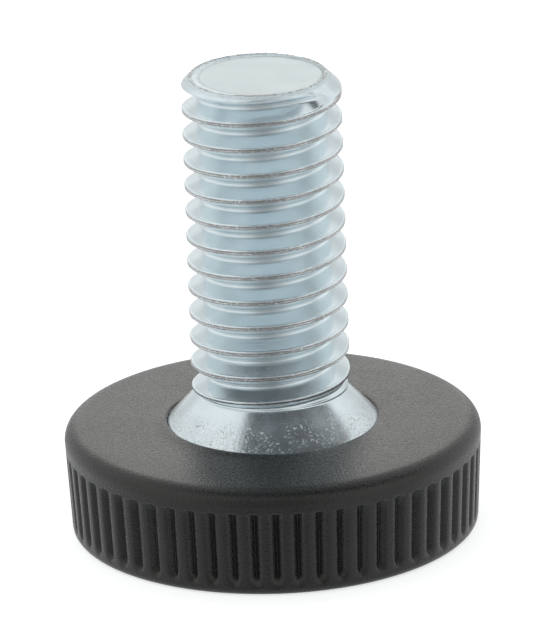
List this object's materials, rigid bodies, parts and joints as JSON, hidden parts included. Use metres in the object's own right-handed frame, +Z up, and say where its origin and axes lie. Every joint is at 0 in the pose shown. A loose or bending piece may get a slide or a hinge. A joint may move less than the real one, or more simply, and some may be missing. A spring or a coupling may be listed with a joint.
{
  "type": "furniture leveling foot",
  "caption": "Furniture leveling foot: a zinc-plated threaded stud with a conical collar that rocks in a round black plastic base with a finger-grooved rim.",
  "frame": {"origin": "centre of the underside, on the surface the foot stands on", "axes": "+Z up along the stud, -Y towards the front, +X to the right"},
  "size_m": [0.025, 0.025, 0.0283],
  "materials": {
    "zinc_steel": "bright zinc plate with a faint blue tint, smooth rolled thread, finely pitted collar",
    "black_nylon": "black moulded nylon with a fine spark-eroded grain",
    "black_plug": "black moulded nylon, smoother than the base"
  },
  "bodies": {
    "foot": {"knurled_base": "black_nylon", "sole_plug": "black_plug"},
    "stud": {"threaded_stud": "zinc_steel"}
  },
  "joints": [
    {"name": "stud_tilt", "type": "hinge", "parent": "foot", "child": "stud", "pos_m": [0, 0, 0.0014], "axis": [0, 1, 0], "range_deg": [-5, 5]}
  ]
}
